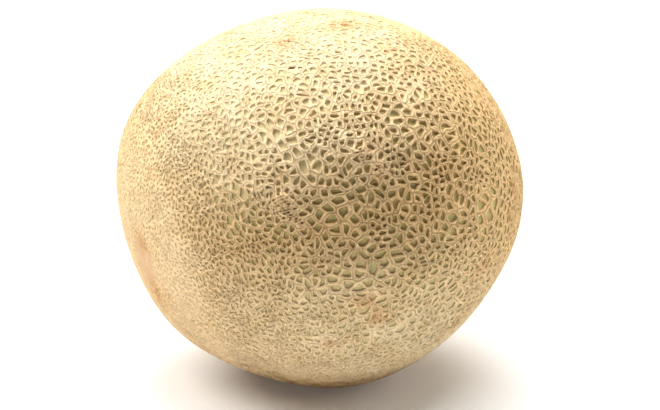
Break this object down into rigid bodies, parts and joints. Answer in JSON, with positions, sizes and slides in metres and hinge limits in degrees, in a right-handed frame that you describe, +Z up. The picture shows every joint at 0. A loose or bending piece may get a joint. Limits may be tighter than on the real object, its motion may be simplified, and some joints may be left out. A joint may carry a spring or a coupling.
{
  "type": "cantaloupe melon",
  "caption": "Whole netted cantaloupe melon, a slightly squat ovoid with shallow ribs and a scar at each end, lying on its side on a small flat spot.",
  "frame": {"origin": "on the flat resting spot, under the middle of the fruit's box", "axes": "+Z up; +X to the right, away from the stem end, which is low on the left; +Y to the back"},
  "size_m": [0.159, 0.1532, 0.1461],
  "materials": {
    "rind": "dry matt cream-tan cork netting over a pale olive-green skin"
  },
  "bodies": {
    "root": {"melon": "rind"}
  },
  "joints": []
}
